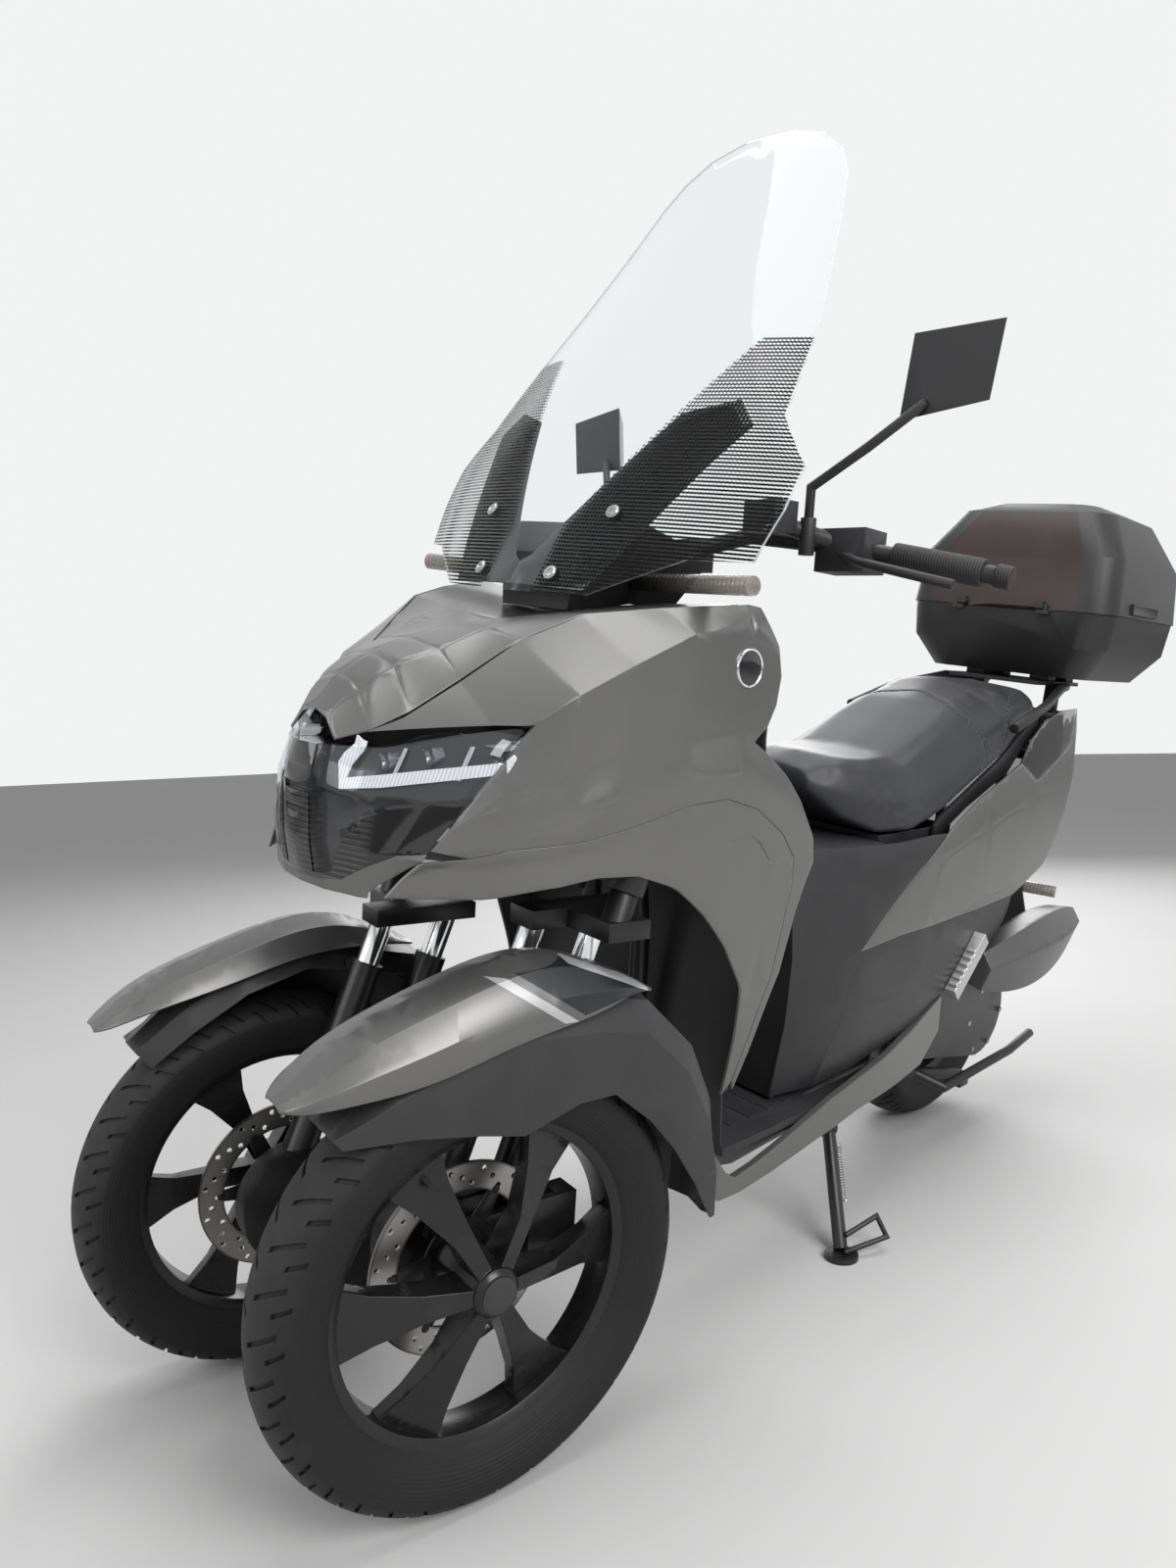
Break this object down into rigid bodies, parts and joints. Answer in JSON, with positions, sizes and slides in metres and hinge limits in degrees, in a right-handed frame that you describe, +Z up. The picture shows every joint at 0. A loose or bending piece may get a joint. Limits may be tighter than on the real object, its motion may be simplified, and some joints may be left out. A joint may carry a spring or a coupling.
{
  "type": "three-wheeled scooter",
  "caption": "Leaning motor scooter with paired front wheels, tall clear windscreen, step-through floor, stepped seat and hinged top box, parked on its side stand.",
  "frame": {"origin": "middle of the footprint on the ground, as the scooter stands leaning on its side stand", "axes": "+X forward, +Y to the rider's left, +Z up from the ground"},
  "size_m": [2.2052, 0.91, 1.6355],
  "materials": {
    "frame_black": "satin black paint",
    "body_paint": "satin warm grey metallic",
    "lens_dark": "dark glossy lens",
    "gloss_black": "gloss black",
    "black_plastic": "grained black plastic",
    "screen_clear": "clear acrylic sheet",
    "lamp_red": "red lens",
    "seat_cover": "black seat cover",
    "rack_black": "black powder coat",
    "engine_alloy": "cast alloy",
    "case_grey": "satin dark grey",
    "muffler_black": "heatproof black",
    "shock_steel": "steel",
    "peg_alloy": "cast alloy",
    "box_black": "grained black plastic",
    "bar_black": "satin black",
    "grip_rubber": "ribbed rubber",
    "rim_black": "satin black paint",
    "tyre": "black rubber",
    "disc_steel": "ground steel",
    "fork_black": "satin black",
    "fender_dark": "dark plastic"
  },
  "bodies": {
    "chassis": {"air_cleaner": "case_grey", "belt_case": "black_plastic", "box_base": "box_black", "centre_cover": "black_plastic", "chin_panel": "black_plastic", "engine_block": "engine_alloy", "floor_trims": "body_paint", "floorboard": "black_plastic", "frame": "frame_black", "headlights": "lens_dark", "inner_shield": "black_plastic", "instrument_panel": "black_plastic", "lean_linkage": "frame_black", "lower_covers": "black_plastic", "lower_fairings": "body_paint", "muffler": "muffler_black", "nose_mask": "gloss_black", "nose_panel": "body_paint", "pillion_pegs": "peg_alloy", "rack": "rack_black", "rear_cowls": "body_paint", "rear_fender": "black_plastic", "rear_shocks": "shock_steel", "screen_panel": "gloss_black", "seat_bucket": "black_plastic", "side_cowls": "body_paint", "signals": "black_plastic", "tail_lamp": "lamp_red", "tail_panels": "gloss_black", "under_cowl": "black_plastic", "windscreen": "screen_clear"},
    "handlebar": {"handlebar": "bar_black", "grips": "grip_rubber", "controls": "black_plastic", "mirrors": "black_plastic"},
    "side_stand": {"side_stand": "frame_black"},
    "centre_stand": {"centre_stand": "frame_black"},
    "seat": {"seat_cushion": "seat_cover"},
    "top_box_lid": {"box_lid": "box_black"},
    "rear_wheel": {"rear_rim": "rim_black", "rear_tyre": "tyre", "rear_disc": "disc_steel"},
    "fork_left": {"fork_left": "fork_black", "fender_crown_left": "body_paint", "fender_skirt_left": "fender_dark"},
    "front_wheel_left": {"front_rim_left": "rim_black", "front_tyre_left": "tyre", "front_disc_left": "disc_steel"},
    "fork_right": {"fork_right": "fork_black", "fender_crown_right": "body_paint", "fender_skirt_right": "fender_dark"},
    "front_wheel_right": {"front_rim_right": "rim_black", "front_tyre_right": "tyre", "front_disc_right": "disc_steel"}
  },
  "joints": [
    {"name": "steering", "type": "hinge", "parent": "chassis", "child": "handlebar", "pos_m": [0.405, 0.005, 1.06751], "axis": [-0.342, 0.168, 0.9245], "range_deg": [-24, 46]},
    {"name": "fork_turn_left", "type": "hinge", "parent": "chassis", "child": "fork_left", "pos_m": [0.8347, 0.06834, 0.24157], "axis": [-0.342, 0.168, 0.9245], "range_deg": [-24, 46]},
    {"name": "fork_turn_right", "type": "hinge", "parent": "chassis", "child": "fork_right", "pos_m": [0.8347, -0.35854, 0.24157], "axis": [-0.342, 0.168, 0.9245], "range_deg": [-24, 46]},
    {"name": "front_wheel_left_spin", "type": "hinge", "parent": "fork_left", "child": "front_wheel_left", "pos_m": [0.85463, 0.06558, 0.24945], "axis": [0.1793, 0.9775, -0.1113], "continuous": true},
    {"name": "front_wheel_right_spin", "type": "hinge", "parent": "fork_right", "child": "front_wheel_right", "pos_m": [0.85463, -0.3613, 0.24945], "axis": [0.1793, 0.9775, -0.1113], "continuous": true},
    {"name": "rear_wheel_spin", "type": "hinge", "parent": "chassis", "child": "rear_wheel", "pos_m": [-0.555, -0.1428, 0.2542], "axis": [0, 0.9839, -0.1788], "continuous": true},
    {"name": "side_stand_fold", "type": "hinge", "parent": "chassis", "child": "side_stand", "pos_m": [0.034, -0.00727, 0.1611], "axis": [-0.1551, 0.9821, -0.1072], "range_deg": [0, 122]},
    {"name": "centre_stand_swing", "type": "hinge", "parent": "chassis", "child": "centre_stand", "pos_m": [-0.275, -0.15503, 0.18694], "axis": [0, 0.9839, -0.1788], "range_deg": [-80, 0]},
    {"name": "seat_lift", "type": "hinge", "parent": "chassis", "child": "seat", "pos_m": [0.07, -0.06241, 0.69659], "axis": [0, 0.9839, -0.1788], "range_deg": [0, 75]},
    {"name": "top_box_lid_lift", "type": "hinge", "parent": "chassis", "child": "top_box_lid", "pos_m": [-0.637, 0.00715, 1.07932], "axis": [0, 0.9839, -0.1788], "range_deg": [0, 75]}
  ],
  "couplings": [
    {"joint": "fork_turn_left", "follows": "steering", "ratio": 1},
    {"joint": "fork_turn_right", "follows": "steering", "ratio": 1}
  ]
}
